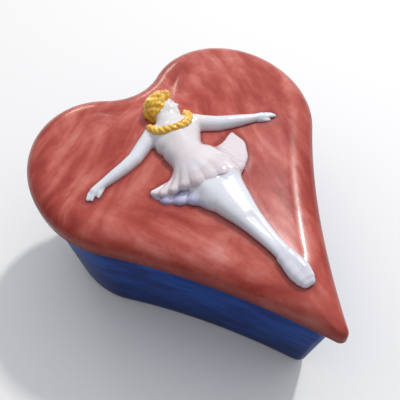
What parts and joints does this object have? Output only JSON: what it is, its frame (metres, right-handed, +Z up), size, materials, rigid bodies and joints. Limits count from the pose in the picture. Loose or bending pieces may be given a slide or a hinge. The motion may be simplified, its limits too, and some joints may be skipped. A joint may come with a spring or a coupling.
{
  "type": "trinket box",
  "caption": "Heart-shaped glazed ceramic trinket box with a lift-off lid that carries a ballet dancer in relief.",
  "frame": {"origin": "under the middle of the lid's outline, on the surface the box stands on", "axes": "+Z up, the heart's notch towards +Y and its point towards -Y, the two lobes at -X and +X"},
  "size_m": [0.099, 0.1199, 0.0612],
  "materials": {
    "red_glaze": "gloss",
    "blue_glaze": "gloss",
    "white_glaze": "gloss",
    "blush_glaze": "gloss",
    "lavender_glaze": "gloss",
    "gold_glaze": "gloss"
  },
  "bodies": {
    "base": {"base_box": "blue_glaze"},
    "lid": {"lid_shell": "red_glaze", "locating_flange": "red_glaze", "torso": "white_glaze", "head": "white_glaze", "hair": "gold_glaze", "neck_garland": "gold_glaze", "left_arm": "white_glaze", "right_arm": "white_glaze", "tutu": "blush_glaze", "petticoat": "lavender_glaze", "left_leg": "white_glaze", "right_leg": "white_glaze", "left_slipper": "white_glaze", "right_slipper": "white_glaze"}
  },
  "joints": [
    {"name": "lid_lift", "type": "slide", "parent": "base", "child": "lid", "axis": [0, 0, 1], "range_m": [0, 0.06]}
  ]
}
